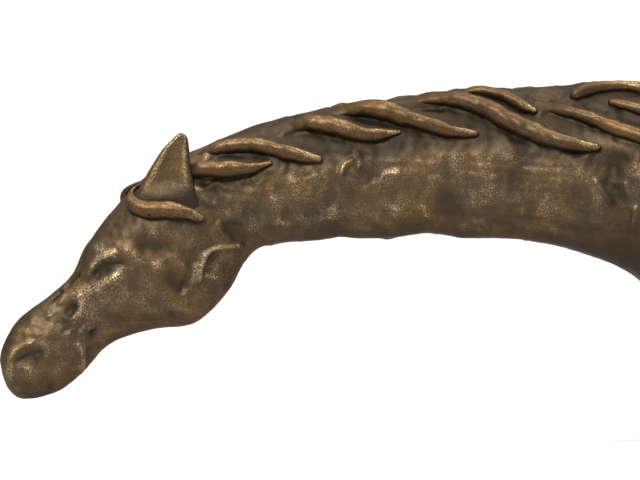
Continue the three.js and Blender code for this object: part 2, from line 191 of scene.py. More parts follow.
# Marks of fingers and tools on the horse's left side.
near_marks = [
    ([[341, 174], [344, 166], [353, 160]], 2.6, 3.3), ([[358, 154.5], [360.5, 162], [358, 168]], 2.4, 3.4),
    ([[350, 168], [347, 174]], 3, -1.2), ([[370, 177]], 11, -2.4), ([[349, 192]], 12, -1.6),
    ([[367, 189], [379, 182], [386, 175], [399, 173]], 3, 1.2), ([[397, 173]], 4, 1.6),
    ([[397, 210]], 10, 2), ([[423, 207], [427, 220]], 2.6, 2.2), ([[448, 202], [450, 214]], 12, -3.2),
    ([[286, 215]], 7, -2.2), ([[279, 212], [281, 221], [290, 224]], 2.6, 1.4),
    ([[321, 211], [321, 222]], 2.6, 1.6), ([[313, 214]], 6, -1.2), ([[334, 217]], 7, 1),
    ([[368, 218]], 9, 1.2), ([[380, 229]], 7, -1.2), ([[513, 152]], 11, 2.2),
    ([[480, 156], [484, 172], [486, 190], [480, 206]], 9, 2), ([[517, 178]], 14, -2.6),
    ([[516, 184]], 2.4, 1.2), ([[573, 198]], 12, -2.4), ([[507, 217]], 10, -1.8), ([[581, 171]], 13, 2.2),
    ([[545, 205]], 11, 1.8), ([[594, 181], [601, 190], [609, 203]], 2.2, 3.6),
    ([[618, 158], [611, 170], [609, 182], [614, 196]], 8, -1.1), ([[623.4, 183], [624.4, 193]], 2.2, 1.6),
    ([[633, 209], [630.5, 229]], 3.2, 3.2), ([[636, 160]], 8, 1.8), ([[272, 201]], 6, 1.2),
    ([[228, 218]], 5, 1.2), ([[219, 190]], 7, -1.8), ([[212, 186], [219, 183], [226, 188]], 2.6, 1),
    ([[206, 182.5]], 5, -2.2), ([[213, 232], [222, 222], [220, 212]], 3, 1.2),
    ([[250, 196], [262, 190]], 5, 1), ([[300, 190]], 13, 1.4), ([[420, 165], [452, 158]], 11, 1.4),
    ([[470, 222], [500, 232]], 8, 1), ([[556, 222], [590, 232]], 9, -1.4), ([[113, 225]], 2.4, -1.2),
    ([[124, 212]], 3, -1.2), ([[300, 222], [312, 230]], 6, 1), ([[262, 222]], 9, 1.2),
    ([[250, 210]], 8, -1.2), ([[330, 196]], 9, -1.2), ([[412, 190]], 10, -1.2),
    ([[432, 186], [440, 178]], 6, 1.2),
]
# Where the dark patina stays in the hollows and painted shadow lies under the locks and the
# forelock, and where hands have rubbed the patina off and highlights are painted: path, reach and
# share. On the head and the body both sides have them, and on the neck the left side alone.
patina_and_shadows = [
    ([[96.5, 273], [101.5, 267.6], [109, 264.6], [121, 263]], 2.8, 1.3),
    ([[101, 273], [112, 268]], 4.6, 1.5), ([[145, 248], [165, 251]], 8, .3),
    ([[172, 279], [184, 288]], 7, .45), ([[73, 305.5], [70.5, 310], [66, 318]], 4.2, 2),
    ([[64, 325], [78, 322]], 6, .2), ([[21, 360], [29, 356.5], [40, 353]], 4, 1.4),
    ([[27, 360], [36, 358]], 5, .5), ([[78.5, 274], [68, 285.5]], 1.8, 1.6),
    ([[61, 292], [52, 301]], 1.8, 1.5), ([[93, 334]], 3.4, .8), ([[51, 386]], 3, .5),
    ([[60, 290], [45, 301], [28, 313], [12, 331], [5, 346]], 6, .4), ([[30, 322], [50, 317]], 10, .2),
    ([[190, 262], [188, 274]], 4, .3), ([[136, 218], [150, 222], [176, 223], [199, 226]], 7, .4),
    ([[142, 198], [160, 200], [186, 201]], 4, .6), ([[138.5, 188.5]], 3, .9),
    ([[124, 222], [136, 234]], 11, .8), ([[85, 262], [88, 250], [97, 235]], 4, .25), ([[206, 182]], 6, 1),
    ([[234, 230]], 9, .5), ([[222, 205], [214, 190]], 7, .3),
    ([[214, 158], [236, 156.6], [262, 158.4]], 5, 1.4), ([[212, 188], [236, 187], [268, 184]], 10, .18),
    ([[350, 118.5], [372, 120.5], [388, 122]], 5, 1.9), ([[350, 144], [410, 145]], 5, .7),
    ([[570, 151], [600, 152], [636, 154]], 6, 1),
    ([[300, 145], [330, 145], [360, 150], [400, 148], [430, 144], [474, 145]], 8, .8),
    ([[448, 202], [450, 214]], 10, .35), ([[517, 178]], 12, .2), ([[573, 198]], 11, .25),
    ([[507, 217]], 8, .2), ([[286, 215]], 6, .25), ([[370, 177]], 8, .2), ([[350, 180], [352, 196]], 8, .2),
    ([[621, 157], [612, 168], [608, 180], [614, 198]], 8.5, 1.7),
    ([[480, 130], [520, 147], [560, 158], [600, 160]], 9, .9),
    ([[240, 232], [330, 236], [420, 232], [560, 244]], 5, .1),
    ([[800, 190], [785, 260], [770, 330]], 12, .5), ([[690, 380], [700, 460]], 8, .5),
    ([[955, 200], [940, 300]], 14, .4),
]
# Wear and painted highlights on the raised places.
rubbed_and_highlit = [
    ([[91.6, 273], [94, 264.6], [98.8, 258.8], [105.7, 255.6], [113.5, 253.2]], 3.4, 2.4),
    ([[131, 253], [138, 255.5], [142, 261]], 4, .5), ([[119, 274.5], [109, 280.5], [98.6, 286]], 5, 1.3),
    ([[99, 285], [88, 289], [81, 293]], 6, 2), ([[80, 298.5], [80.5, 307], [73, 319]], 4.6, 1.8),
    ([[12.6, 355], [15.6, 349], [22.5, 344.8], [31.5, 341.5]], 2.8, .9), ([[11.5, 356], [11, 372]], 3, .3),
    ([[80, 346], [84, 353], [84, 361], [81, 370]], 2.4, 1.1), ([[33, 372]], 7, .2), ([[52, 314]], 5, .2),
    ([[200, 279], [203, 266], [206.5, 256], [213, 250.5], [224, 247.5], [240, 246]], 1.9, 1.2),
    ([[208, 276], [217, 278]], 2, 1.2), ([[187, 292], [194, 280], [199, 266]], 3, .3),
    ([[157, 266], [165, 260]], 3, .2), ([[120, 300], [150, 304]], 12, .15), ([[67.5, 333]], 2.4, .8),
    ([[81, 330]], 2.4, .8), ([[342, 172], [345, 165], [353, 160]], 2.6, 1.3),
    ([[358, 155], [360.5, 163]], 2.4, 1.4), ([[397, 173]], 3.4, .5), ([[386, 176], [412, 170]], 4, .4),
    ([[397, 212]], 8, .9), ([[424, 208], [427, 219]], 2.4, 1.3), ([[322, 217]], 3.4, .8),
    ([[281, 220]], 3.4, .8), ([[513, 152], [500, 160]], 9, .25),
    ([[480, 160], [485, 172], [486, 190], [482, 204]], 8, .3), ([[581, 171]], 12, .35),
    ([[545, 205], [548, 220]], 10, .2), ([[594, 181], [601, 190], [609, 203]], 2.2, 1.6),
    ([[623.4, 183], [624.4, 193]], 1.8, 1.5), ([[624, 201.5]], 2, .9),
    ([[633, 209], [630.5, 229]], 3.4, 1.8), ([[634, 165]], 8, .6), ([[300, 195], [270, 205]], 14, .12),
    ([[440, 165], [455, 172]], 10, .2), ([[228, 218], [226, 200]], 8, .15),
    ([[762, 150], [746, 210], [724, 280]], 14, .5), ([[664, 250], [676, 330], [672, 400]], 14, .45),
    ([[900, 105], [960, 125]], 26, .4), ([[1035, 170], [1045, 260]], 14, .4),
    ([[850, 240], [880, 300]], 24, .3), ([[742, 380], [748, 440]], 10, .35),
    ([[84, 296], [86, 304], [80, 312]], 7, .7), ([[107, 238], [101, 250]], 8, .5),
    ([[217, 258], [221, 272], [213, 290]], 11, .5), ([[192, 313], [168, 318]], 9, .35),
    ([[305, 196], [345, 204], [400, 208]], 15, .3),
]
# Strands of the hair mass between the rolled locks, on the horse's left side.
near_strands = [
    ([[206, 156], [222, 147], [244, 137], [262, 131]], 3, 1.8),
    ([[264, 133], [278, 125.4], [291, 119.6]], 3, 1.5), ([[268, 139], [280, 133], [291, 128]], 3, -1.2),
    ([[258, 141], [274, 137], [290, 131]], 3, 1.2), ([[300, 116], [326, 108]], 4, 1.4),
    ([[392, 103], [430, 96], [456, 92]], 5, 1.8), ([[400, 112], [424, 108], [440, 108]], 4, -2.4),
    ([[540, 92], [560, 96], [572, 104]], 5, 2.4), ([[508, 92], [536, 90], [556, 87]], 4, 1.6),
    ([[528, 98], [548, 102]], 4, -2.4), ([[562, 95]], 4.4, -2.6),
    ([[540, 112], [548, 108], [560, 107]], 3.4, 1.8), ([[584, 106], [596, 108], [604, 112]], 3, -2.4),
    ([[620, 118], [640, 124]], 4, -2.2), ([[215, 163], [206, 167]], 3, -2),
    ([[208, 157], [220, 150], [238, 146]], 5.5, 2.2), ([[282, 132], [294, 127], [307, 124]], 5, 2),
]
# Lines of the rolled locks on the horse's left side: x, y and radius of the roll along each.
near_locks = {
    "behind_the_ear": [
        [180, 171.4, 6.6], [190, 170.6, 7.6], [201, 169.4, 8.6], [216, 169, 9.2], [232, 169.2, 8.6],
        [246, 169, 6.6], [258, 166.6, 4.6], [270, 163, 2.4],
    ],
    "poll": [
        [190, 159, 3.2], [204, 153.5, 4.6], [216, 149.6, 6], [231, 146, 6.8], [250, 144.8, 7],
        [268, 146.8, 7.4], [285, 151.8, 7.4], [302, 156.4, 6.6], [318, 159.2, 4.4],
    ],
    "second": [
        [281, 131, 4.6], [291, 127.6, 6.2], [301, 124.6, 7.4], [313, 123.2, 8.2], [326, 124.4, 8.9],
        [340, 127.8, 8.9], [354, 131.6, 8.2], [371, 134.4, 7.2], [385, 134, 5], [399, 132.4, 1.8],
    ],
    "third": [
        [330, 114, 5], [342, 111, 6.8], [356, 109.2, 8.2], [372, 108.6, 9.2], [387, 110.8, 9.4],
        [401, 115.8, 9], [416, 121, 8.4], [437, 127, 7.4], [458, 132, 5.6], [475, 133.8, 3.2],
    ],
    "fourth": [
        [410, 101.5, 4.6], [422, 99, 6.4], [436, 97.8, 7.6], [450, 99, 8], [470, 103, 9], [490, 110.4, 9.8],
        [509, 120, 9.7], [529, 130.2, 9.4], [553, 139.6, 8.6], [577, 145.4, 6.8], [595, 148, 4],
    ],
    "crest_strand": [
        [456, 92.6, 4], [468, 91.6, 4.8], [482, 91.6, 5.6], [495, 93.6, 6.2], [508, 98.4, 6.4],
        [520, 104.8, 5.8], [533, 111, 3.4],
    ],
    "fifth": [
        [537, 104.4, 4.4], [550, 107.4, 5.6], [563, 110.6, 6.2], [580, 115.4, 6.8], [599, 122.4, 7],
        [618, 130, 7.1], [640, 137.4, 7.2], [664, 146, 7.2], [686, 150.5, 5.4], [704, 152, 2.6],
    ],
    "sixth": [
        [575.5, 95, 6.6], [581, 92.4, 6.8], [590, 89.6, 6.6], [606, 87, 6.4], [622, 86.4, 6],
        [642, 88.6, 6.2], [668, 96, 7], [698, 108, 7], [726, 117.6, 5], [744, 122, 2.4],
    ],
    "under_the_sixth": [
        [611, 102.6, 3.8], [624, 105.4, 5.2], [642, 111, 5.8], [664, 118.6, 5.6], [686, 127, 4.2],
        [703, 131, 2],
    ],
    "seventh": [
        [664, 93, 4], [686, 90, 6], [710, 94, 7.4], [738, 103, 7.6], [764, 110.6, 5.6], [787, 114, 2.4],
    ],
    "last": [
        [720, 93, 4], [746, 93.4, 5.6], [770, 98.6, 6], [792, 105, 4.8], [814, 109, 2],
    ],
}
# The far side's locks follow one pattern down the crest, in lock lengths along it and down from
# it, and each is a little longer than the one before it. The swell is in shares of their radius.
far_pattern = np.array([[0, 0], [.13, -.04], [.3, -.01], [.5, .08], [.7, .19], [.87, .27], [1, .3]])
far_swell = np.array([.75, .9, 1.1, 1.15, 1, .75, .35])
far_radius, far_start, far_spacing, far_below_crest = 8.5, 200, 60, 11
crest_line = through(ribs, np.linspace(0, len(ribs) - 1, 400))
far_locks = {}
for k in range(9):
    lock_length = 92 + 8 * k
    lock_x = far_start + far_spacing * k + lock_length * far_pattern[:, 0]
    crest = np.interp(lock_x, crest_line[:, 0], crest_line[:, 1])
    lock_y = crest + far_below_crest + lock_length * far_pattern[:, 1]
    far_locks[f"far_{k}"] = np.stack([lock_x, lock_y, far_radius * far_swell], 1)
# Strands of hair that cross the crest from the left side to the right: x and distance out.
crest_hairs = [[[start, -12], [start + 18, -5], [start + 38, 3], [start + 62, 12]]
               for start in range(225, 825, 40)]

uneven = np.random.default_rng(7)


def hand_waves(points, size, seed_waves):
    """Gentle uneven height of hand modelling: a sum of plane sine waves in random directions,
    about one size long, with a mean square of 1."""
    ways, phases = seed_waves
    return np.sin(points @ (ways * (2 * pi / size)).T + phases).sum(-1) * (2 / len(phases)) ** 0.5


def wave_set(count):
    """Random directions and phases for hand waves, with lengths from 1.4 times the size down to
    0.7 of it."""
    ways = uneven.normal(size=(count, 3))
    return unit(ways) * uneven.uniform(0.7, 1.4, (count, 1)), uneven.uniform(0, 2 * pi, count)


broad_waves, middle_waves, fine_waves = wave_set(18), wave_set(24), wave_set(30)
# Finger dents on the parts that the left side's marks don't reach: x, y, radius and depth.
dents = np.stack([uneven.uniform(230, 1040, 120), uneven.uniform(90, 440, 120),
                  uneven.uniform(6, 15, 120), uneven.uniform(-3, 2, 120)], 1)
# Short curved ridges that the fingers left: x, y, direction, length, bend and which side.
dab_marks = np.stack([uneven.uniform(205, 600, 90), uneven.uniform(168, 236, 90), uneven.uniform(0, pi, 90),
                      uneven.uniform(4, 9, 90), uneven.uniform(-0.4, 0.4, 90), uneven.uniform(-1, 1, 90)], 1)

neck_from, neck_to = 205, 640              # x of the neck's ends, behind the ears and at the breast
form_reach = 20                            # a stroke at least this broad is form and takes no patina
full_tone = 14                             # squares of depth or rise that count as 1 of patina or wear
fillet_rise, groove_depth = 0.22, 0.16     # beside a lock, in shares of its radius
shadow_below, shade_above = 0.4, 0.2          # painted shadow just below a lock and painted shade just above it
mane_from, mane_to = 36, 64                # squares under the crest where the painted shade between the locks fades
mane_dark, shoulder_dark = 1.9, 0.7        # patina and painted shade between the locks, and more painted shade towards the shoulder
throat_dark, breast_clear = 1.4, 0.9       # painted shade low on the neck, and how much less of it the breast has


def relief(points, facing):
    """Height of the modelling over the plain skin, in squares; how dark each point is with the
    patina of hollows and with painted shade under and over the locks, between them and low on the
    neck; and how much it is raised and rubbed, with painted highlights. Each stroke is its rise
    times the bell curve of the distance from its path over its reach. A lock has a low fillet above
    it and a pressed groove below it, which fade at the crest. The strands of hair between the locks
    and across the crest carry less patina and painted shade than the ground round them. Facing is
    the sideways part of the way out of the skin: where it is small, at the outline, the hand was smoother."""
    x, y, out = seen(points)
    height, patina_and_shade, raised_and_highlit = (np.zeros_like(x) for _ in range(3))
    left_side = smooth(-out, -4, 4)
    crest_y = np.interp(x, crest_line[:, 0], crest_line[:, 1])

    def boxed(path, wide, high):
        """Which points lie in the box round a path, with a margin to the sides and one upwards
        and downwards."""
        path = np.array(path, float)
        return ((x > path[:, 0].min() - wide) & (x < path[:, 0].max() + wide)
                & (y > path[:, 1].min() - high) & (y < path[:, 1].max() + high))

    def stroke(path, reach, rise, weight=1.0, lie=None):
        inside = boxed(path, 3 * reach, 3 * reach)
        if not inside.any():
            return
        d, _ = from_path(x[inside], y[inside], path)
        if lie is not None:
            d = np.hypot(d, np.abs(out[inside]) - lie)
        part = rise * np.exp(-(d / reach) ** 2) * (weight[inside] if np.ndim(weight) else weight)
        height[inside] += part
        if reach < form_reach:
            patina_and_shade[inside] += np.maximum(-part, 0) / full_tone
            raised_and_highlit[inside] += part / full_tone

    def paint(layer, path, reach, share, weight):
        d, _ = from_path(x, y, path)
        layer += share * weight * np.exp(-(d / reach) ** 2)

    for path, reach, rise in anatomy:
        stroke(path, reach, rise)
    for path, reach, rise, lie in breast:
        stroke(path, reach, rise, lie=lie)
    for path, reach, rise in near_marks + near_strands:
        stroke(path, reach, rise, left_side)
    # Less painted shade along the strands that stand up.
    for path, reach, rise in near_strands:
        paint(patina_and_shade, path, reach + 2, -0.4 * max(rise, 0), left_side)
    # The tables' patina and painted shadows, and their wear and painted highlights.
    for layer, touches in ((patina_and_shade, patina_and_shadows), (raised_and_highlit, rubbed_and_highlit)):
        for path, reach, share in touches:
            paint(layer, path, reach, share, left_side if neck_from < path[0][0] < neck_to else 1)
    # Each dent has a thin ridge of pushed wax beside it.
    unseen = np.maximum(1 - left_side, smooth(x, 645, 680))
    for dx, dy, radius, depth in dents:
        stroke([[dx, dy]], radius, depth * 0.6, unseen)
        stroke([[dx + 8, dy + 5], [dx + 20, dy - 6]], radius / 3, 1.2, unseen)
    # Two in three of the dabs stand up, and the others are pressed in.
    for dx, dy, way, length, bend, lie in dab_marks:
        bent = [dx - length * bend * np.sin(way), dy + length * bend * np.cos(way)]
        ends = [[dx + k * length * np.cos(way), dy + k * length * np.sin(way)] for k in (-1, 1)]
        on = left_side if lie < 0.2 else 1 - left_side
        stroke([ends[0], bent, ends[1]], 2.4, 0.75 * np.sign(dx % 7 - 2.2), on)
    on_crest = smooth(x, 215, 250) * (1 - smooth(y - crest_y, 4, 13)) * (1 - smooth(x, 800, 860))
    hairs = np.zeros_like(x)
    for path in crest_hairs:
        d, _ = from_path(x, out, path)
        hairs = np.maximum(hairs, np.exp(-(d / 3.2) ** 2) * on_crest)
    height += 0.7 * hairs - 0.5 * on_crest
    off_crest = smooth(np.abs(out), 3, 14)
    for locks, on_side in ((near_locks, left_side * off_crest), (far_locks, (1 - left_side) * off_crest)):
        for line in locks.values():
            line = np.array(line, float)
            inside = boxed(line, 30, 40)
            px, py = x[inside], y[inside]
            d, share = from_path(px, py, line[:, :2])
            walked = walk_along(line)
            radius = np.interp(share * walked[-1], walked, line[:, 2])
            below = smooth(py - np.interp(px, line[:, 0], line[:, 1]), -2, 2)
            beside = on_side[inside] * smooth(share, 0, .1) * (1 - 0.8 * smooth(share, .9, 1))
            fillet = fillet_rise * radius * np.exp(-((d - 0.8 * radius) / (0.6 * radius + 1)) ** 2)
            groove = groove_depth * radius * np.exp(-((d - 1.15 * radius) / (0.55 * radius + .6)) ** 2)
            height[inside] += beside * ((1 - below) * fillet - below * groove)
            # Painted shadow on the skin just below each lock, and painted shade just above it.
            clear = np.maximum(d - radius, 0)
            patina_and_shade[inside] += beside * (below * shadow_below * np.exp(-(clear / (0.9 * radius + 1.5)) ** 2)
                                        + (1 - below) * shade_above * np.exp(-(clear / 4) ** 2))
    in_mane = smooth(x, 205, 240) * (1 - smooth(x, 770, 900)) * (1 - smooth(y - crest_y, mane_from, mane_to))
    breast_tone = throat_dark * smooth(x, 555, 660) - breast_clear * smooth(x, 670, 740)
    # Patina and painted shade between the locks, more painted shade in the mane towards the shoulder, and
    # painted shade low on the neck that the breast has less of.
    patina_and_shade += (mane_dark * in_mane + shoulder_dark * in_mane * smooth(x, 480, 600)
               + breast_tone * smooth(y, 190, 265))
    # Painted shade, darker towards the back.
    patina_and_shade += 0.3 * smooth(x, 700, 800)
    patina_and_shade = np.maximum(patina_and_shade, 0) * (1 - 0.55 * hairs)

    # Uneven all over, in three sizes of metres, and calmer in the mane and on the shoulders.
    broad, middle, fine = (hand_waves(points, size, waves) for size, waves in
                           ((0.019, broad_waves), (0.0085, middle_waves), (0.0038, fine_waves)))
    calm = (1 - 0.15 * smooth(x, 660, 760)) * (1 - 0.5 * in_mane)
    height += calm * (0.25 + 0.75 * smooth(facing, 0.3, 0.8)) * (0.45 * broad + 0.45 * middle + 0.2 * fine)
    raised_and_highlit += (0.05 * broad + 0.06 * middle) * (1 - in_mane) + 0.3 * hairs
    raised_and_highlit *= 1 - 0.45 * smooth(x, 205, 260) * (1 - smooth(x, 640, 700))
    return height, patina_and_shade, raised_and_highlit


def skin(x, y, side):
    """Place on the plain skin behind points of the side view, and the way out of it there. The
    rib through a point is found by halving, and the point's share of the rib gives its angle."""
    x, y = np.asarray(x, float), np.asarray(y, float)
    low, high = np.zeros_like(x), np.full_like(x, len(ribs) - 1)
    for _ in range(30):
        halfway = (low + high) / 2
        rib = through(ribs, halfway)
        ahead = ((rib[..., 2] - rib[..., 0]) * (y - rib[..., 1])
                 < (rib[..., 3] - rib[..., 1]) * (x - rib[..., 0]))
        low, high = np.where(ahead, halfway, low), np.where(ahead, high, halfway)
    rib = through(ribs, low)
    length = np.hypot(rib[..., 0] - rib[..., 2], rib[..., 1] - rib[..., 3])
    share = np.hypot(x - rib[..., 2], y - rib[..., 3]) / length
    angle = side * np.arccos(np.clip(2 * share - 1, -0.98, 0.98))
    return plain_skin(low, angle), skin_normal(low, angle)


def grid_faces(rings, around):
    """Quads of a closed skin of rings, with a pole before the first and after the last."""
    ring, k = np.meshgrid(np.arange(rings - 1), np.arange(around), indexing="ij")
    a, b = 1 + ring * around + k, 1 + ring * around + (k + 1) % around
    quads = np.stack([a, b, b + around, a + around], -1).reshape(-1, 4)
    k = np.arange(around)
    last = rings * around + 1
    first_fan = np.stack([np.zeros(around, int), 1 + (k + 1) % around, 1 + k], -1)
    last_fan = np.stack([np.full(around, last), last - around + k, last - around + (k + 1) % around], -1)
    return [first_fan, quads, last_fan]


def add_object(name, data):
    """A new object in the scene, at the world's origin."""
    made = bpy.data.objects.new(name, data)
    bpy.context.scene.collection.objects.link(made)
    return made


def bronze_piece(name, points, faces, wear_and_highlight, shade):
    """A closed smooth mesh that faces outwards, sawn off flat and closed where it goes below the
    ground. Wear and shade are kept as values at its points: how far the finish is rubbed bright
    and painted with highlight there, and how far it is darkened with patina and painted shade."""
    corners = np.concatenate([f.ravel() for f in faces])
    sizes = np.concatenate([np.full(len(f), f.shape[1]) for f in faces])
    mesh = bpy.data.meshes.new(name)
    mesh.vertices.add(len(points))
    mesh.vertices.foreach_set("co", points.astype(np.float32).ravel())
    mesh.loops.add(len(corners))
    mesh.loops.foreach_set("vertex_index", corners.astype(np.int32))
    mesh.polygons.add(len(sizes))
    mesh.polygons.foreach_set("loop_start", np.concatenate([[0], np.cumsum(sizes)[:-1]]).astype(np.int32))
    mesh.update(calc_edges=True)
    for key, values in (("wear_and_highlight", wear_and_highlight), ("shade", shade)):
        mesh.attributes.new(key, "FLOAT", "POINT").data.foreach_set("value", values.astype(np.float32))
    work = bmesh.new()
    work.from_mesh(mesh)
    if work.calc_volume(signed=True) < 0:
        bmesh.ops.reverse_faces(work, faces=work.faces)
    if points[:, 2].min() < 0:
        bmesh.ops.bisect_plane(work, geom=work.verts[:] + work.edges[:] + work.faces[:],
                               plane_co=(0, 0, 0), plane_no=(0, 0, -1), clear_outer=True)
        sawn_edges = [e for e in work.edges if e.is_boundary]
        bmesh.ops.holes_fill(work, edges=sawn_edges, sides=0)
    work.to_mesh(mesh)
    work.free()
    mesh.shade_smooth()
    return add_object(name, mesh)


# Rings at equal steps down the middle of the body, up to the rib where the photograph ends, and
# about three times as far apart behind it.
rings, points_around = 475, 200
last_rib_seen, step_behind = 17.2, 0.35
rib_u = np.linspace(0, len(ribs) - 1, 4001)
rib_rows = through(ribs, rib_u)
middle_xy = 0.5 * (rib_rows[:, 0:2] + rib_rows[:, 2:4])
middle_steps = np.hypot(*np.diff(middle_xy, axis=0).T)
middle_steps *= np.where(rib_u[1:] <= last_rib_seen, 1.0, step_behind)
middle_walk = np.concatenate([[0], np.cumsum(middle_steps)])
body_u = np.interp(np.linspace(0, middle_walk[-1], rings), middle_walk, rib_u)

# Equal steps around each rib: the angle at equal shares of the rib's length round. Each ring's
# shares start 2 above the last one's, so that all rings are looked up at once.
fine_angle = np.linspace(0, 2 * pi, 721)
fine_ring = plain_skin(body_u[:, None], fine_angle[None, :])
round_steps = np.linalg.norm(np.diff(fine_ring, axis=1), axis=-1)
walk = np.concatenate([np.zeros((rings, 1)), np.cumsum(round_steps, axis=1)], axis=1)
walk = walk / walk[:, -1:] + 2 * np.arange(rings)[:, None]
wanted = np.arange(points_around) / points_around + 2 * np.arange(rings)[:, None]
angles = np.interp(wanted.ravel(), walk.ravel(), np.tile(fine_angle, rings)).reshape(rings, -1)

plain = plain_skin(body_u[:, None], angles)
out_of_skin = skin_normal(np.broadcast_to(body_u[:, None], angles.shape), angles)
rise, patina_and_shade, raised_and_highlit = relief(plain, np.abs(out_of_skin[..., 1]))
rise *= smooth(np.arange(rings), 0, 6)[:, None]        # no relief at the pole of the muzzle
body = plain + out_of_skin * (rise * square)[..., None]


def blurred(values, reach):
    """The mean of each point's neighbours, weighted by a bell curve of the steps between them:
    along the body first, and then around it."""
    steps = np.arange(-2 * reach, 2 * reach + 1)
    weights = np.exp(-(steps / reach) ** 2)
    weights /= weights.sum()
    padded = np.pad(values, ((2 * reach, 2 * reach), (0, 0)), mode="edge")
    values = sum(w * padded[k:k + len(values)] for k, w in enumerate(weights))
    return sum(w * np.roll(values, step, axis=1) for step, w in zip(steps, weights))


proud = rise - blurred(rise, 7)            # squares above the skin round about
along, around = np.gradient(body, axis=0), np.roll(body, -1, 1) - np.roll(body, 1, 1)
facing_up = unit(np.cross(along, around))[..., 2]
# Hands wear what is proud, with a painted highlight where it faces up; the patina stays in
# hollows, with painted shade where it faces down.
wear_and_highlight = 1 - np.exp(-np.maximum(0.16 * proud + raised_and_highlit, 0))
wear_and_highlight *= np.exp(-1.1 * patina_and_shade) * (0.8 + 0.3 * facing_up)
shade = 1 - np.exp(-(patina_and_shade + 0.1 * np.maximum(-proud, 0) + 0.3 * np.maximum(-facing_up, 0) ** 2))


def closed_ends(values):
    """The rings' values in one row, with the first and last rings' means at the two poles."""
    rest = values.shape[2:]
    return np.concatenate([values[0].mean(0).reshape(1, *rest), values.reshape(-1, *rest),
                           values[-1].mean(0).reshape(1, *rest)])


casting = bronze_piece("bust_casting", closed_ends(body), grid_faces(rings, points_around),
                       closed_ends(wear_and_highlight), closed_ends(shade))

pin_holes = ((150, 215.5, -52), (417, 119, -38), (103, 300, -30))      # bubbles in the cast: x, y and out


def set_inputs(node, **values):
    """Constants on the sockets of a node, named as the sockets are, with _ for each space."""
    for key, value in values.items():
        node.inputs[key.replace("_", " ")].default_value = value


